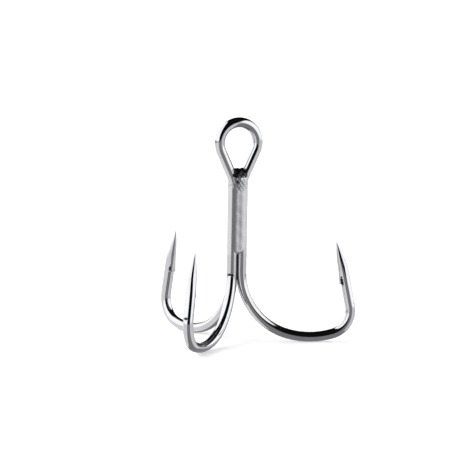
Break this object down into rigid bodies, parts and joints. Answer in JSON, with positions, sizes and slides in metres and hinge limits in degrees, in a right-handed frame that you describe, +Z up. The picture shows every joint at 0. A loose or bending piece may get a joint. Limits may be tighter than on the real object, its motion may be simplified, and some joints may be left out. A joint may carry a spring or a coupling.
{
  "type": "treble hook",
  "caption": "Brazed treble fishing hook: a ring eye on a short shank, with barbed hooks bent outward at even angles round it.",
  "frame": {"origin": "inner crown of the eye, where a ring or a line bears, in the plane of the eye's wire", "axes": "+Z up along the shank from the bends to the eye; the wire of the eye lies in the XZ plane, +X towards the right leg seen from the front; -Y is the front, and the single wire is behind the two legs at +Y"},
  "size_m": [0.037, 0.037, 0.0407],
  "materials": {
    "black_nickel_wire": "polished black nickel plate on high-carbon steel wire",
    "plated_braze": "braze filler under the same black nickel plate, slightly uneven"
  },
  "bodies": {
    "root": {"double_hook_wire": "black_nickel_wire", "single_hook_wire": "black_nickel_wire", "braze_fillet_front": "plated_braze", "braze_fillet_right": "plated_braze", "braze_fillet_left": "plated_braze", "braze_core": "plated_braze", "braze_throat": "plated_braze"}
  },
  "joints": []
}
